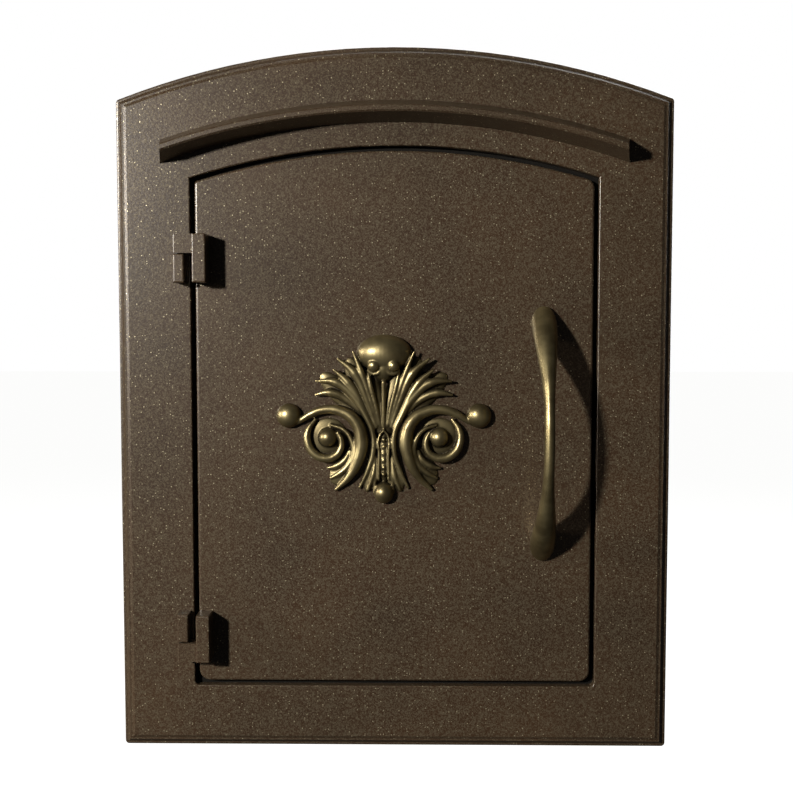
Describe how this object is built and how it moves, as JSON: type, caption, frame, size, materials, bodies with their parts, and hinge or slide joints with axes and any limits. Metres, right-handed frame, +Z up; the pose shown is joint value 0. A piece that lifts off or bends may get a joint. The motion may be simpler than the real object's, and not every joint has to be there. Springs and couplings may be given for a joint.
{
  "type": "wall mailbox",
  "caption": "Arched cast front plate with a rain hood and an inset side-hinged door with a bowed pull, on a sheet steel mail box that goes into a wall or pier.",
  "frame": {"origin": "on the wall's face, at the middle of the front plate's bottom edge", "axes": "+X to the right as the viewer faces the door, +Y into the wall, +Z up"},
  "size_m": [0.352, 0.434, 0.448],
  "materials": {
    "bronze_coated_casting": "satin bronze powder coat with fine metallic fleck on cast aluminium",
    "antiqued_bronze": "satin antiqued bronze, dark in the recesses",
    "black_coated_steel": "matte black coat",
    "galvanised_steel": "satin galvanised sheet",
    "zinc_plated_steel": "satin zinc plate",
    "stainless_steel": "ground stainless steel, satin",
    "spring_steel": "blued spring steel, satin",
    "aluminium_rivet": "satin",
    "ferrite": "matte",
    "black_nylon": "matte",
    "acetal": "satin dark brown moulding",
    "foam_rubber": "matte"
  },
  "bodies": {
    "housing": {"faceplate": "bronze_coated_casting", "rain_hood": "bronze_coated_casting", "hood_screws": "zinc_plated_steel", "upper_hinge_block": "bronze_coated_casting", "lower_hinge_block": "bronze_coated_casting", "hinge_block_screws": "zinc_plated_steel", "upper_hinge_pin": "stainless_steel", "lower_hinge_pin": "stainless_steel", "hinge_washers": "acetal", "door_stop_frame": "black_coated_steel", "box_shell": "galvanised_steel", "box_screws": "zinc_plated_steel", "box_rear_panel": "galvanised_steel", "rear_strips": "galvanised_steel", "rear_rivets": "aluminium_rivet", "catch_housing": "black_nylon", "catch_magnet": "ferrite", "catch_pole_plates": "zinc_plated_steel", "catch_screws": "zinc_plated_steel"},
    "door": {"door_panel": "bronze_coated_casting", "upper_door_bracket": "bronze_coated_casting", "lower_door_bracket": "bronze_coated_casting", "bracket_screws": "zinc_plated_steel", "door_handle": "antiqued_bronze", "handle_washers": "zinc_plated_steel", "handle_screws": "zinc_plated_steel", "ornament": "antiqued_bronze", "ornament_push_nuts": "spring_steel", "door_seal": "foam_rubber", "strike_plate": "zinc_plated_steel", "strike_screw": "zinc_plated_steel"}
  },
  "joints": [
    {"name": "door_swing", "type": "hinge", "parent": "housing", "child": "door", "pos_m": [-0.1343, -0.021, 0.195], "axis": [0, 0, -1], "range_deg": [0, 165]}
  ]
}
